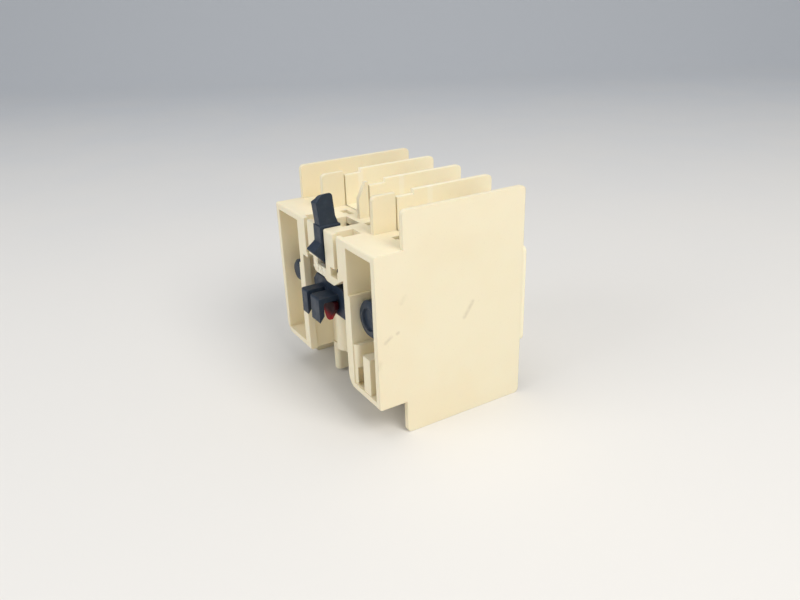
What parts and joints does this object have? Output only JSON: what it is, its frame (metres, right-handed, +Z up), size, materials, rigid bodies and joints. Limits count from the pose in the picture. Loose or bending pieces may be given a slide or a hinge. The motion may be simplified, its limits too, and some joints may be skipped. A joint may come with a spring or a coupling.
{
  "type": "auxiliary contact block",
  "caption": "Auxiliary contact block that snaps on a contactor: barrier fins, clamp terminals, a hooked contact carriage and a sprung latch lever.",
  "frame": {"origin": "bottom centre of the bounding box, under the lower barrier fins", "axes": "+Z up, from the lower terminals to the upper ones; +Y from the mounting face to the terminal face; +X to the right seen from the mounting side"},
  "size_m": [0.044, 0.0392, 0.0466],
  "materials": {
    "cream_plastic": "satin moulded thermoplastic",
    "slate_plastic": "satin moulded thermoplastic",
    "red_plastic": "moulded thermoplastic",
    "white_plastic": "matt marker strip",
    "contact_brass": "stamped strip",
    "plated_steel": "zinc plated"
  },
  "bodies": {
    "housing": {"housing_shell": "cream_plastic", "terminal_frame": "cream_plastic", "front_nose": "cream_plastic", "marker_plate": "white_plastic", "contact_upper_1": "contact_brass", "contact_upper_2": "contact_brass", "contact_upper_3": "contact_brass", "contact_upper_4": "contact_brass", "contact_lower_1": "contact_brass", "contact_lower_2": "contact_brass", "contact_lower_3": "contact_brass", "contact_lower_4": "contact_brass", "clamp_upper_1": "plated_steel", "clamp_upper_2": "plated_steel", "clamp_upper_3": "plated_steel", "clamp_upper_4": "plated_steel", "clamp_lower_1": "plated_steel", "clamp_lower_2": "plated_steel", "clamp_lower_3": "plated_steel", "clamp_lower_4": "plated_steel", "screw_upper_1": "plated_steel", "screw_upper_2": "plated_steel", "screw_upper_3": "plated_steel", "screw_upper_4": "plated_steel", "screw_lower_1": "plated_steel", "screw_lower_2": "plated_steel", "screw_lower_3": "plated_steel", "screw_lower_4": "plated_steel", "return_spring_1": "plated_steel", "return_spring_2": "plated_steel", "latch_spring": "plated_steel"},
    "carriage": {"carriage": "slate_plastic", "red_insert": "red_plastic", "bridge_1": "contact_brass", "bridge_2": "contact_brass", "bridge_3": "contact_brass", "bridge_4": "contact_brass", "contact_spring_1": "plated_steel", "contact_spring_2": "plated_steel", "contact_spring_3": "plated_steel", "contact_spring_4": "plated_steel"},
    "latch": {"latch_lever": "slate_plastic"}
  },
  "joints": [
    {"name": "carriage_slide", "type": "slide", "parent": "housing", "child": "carriage", "axis": [0, -1, 0], "range_m": [0, 0.0035], "stiffness_N_per_m": 300, "deforming": ["return_spring_1", "return_spring_2"]},
    {"name": "latch_rock", "type": "hinge", "parent": "housing", "child": "latch", "pos_m": [0, -0.0138, 0.0303], "axis": [-1, 0, 0], "range_deg": [0, 12], "stiffness_Nm_per_rad": 0.15, "deforming": ["latch_spring"]}
  ]
}
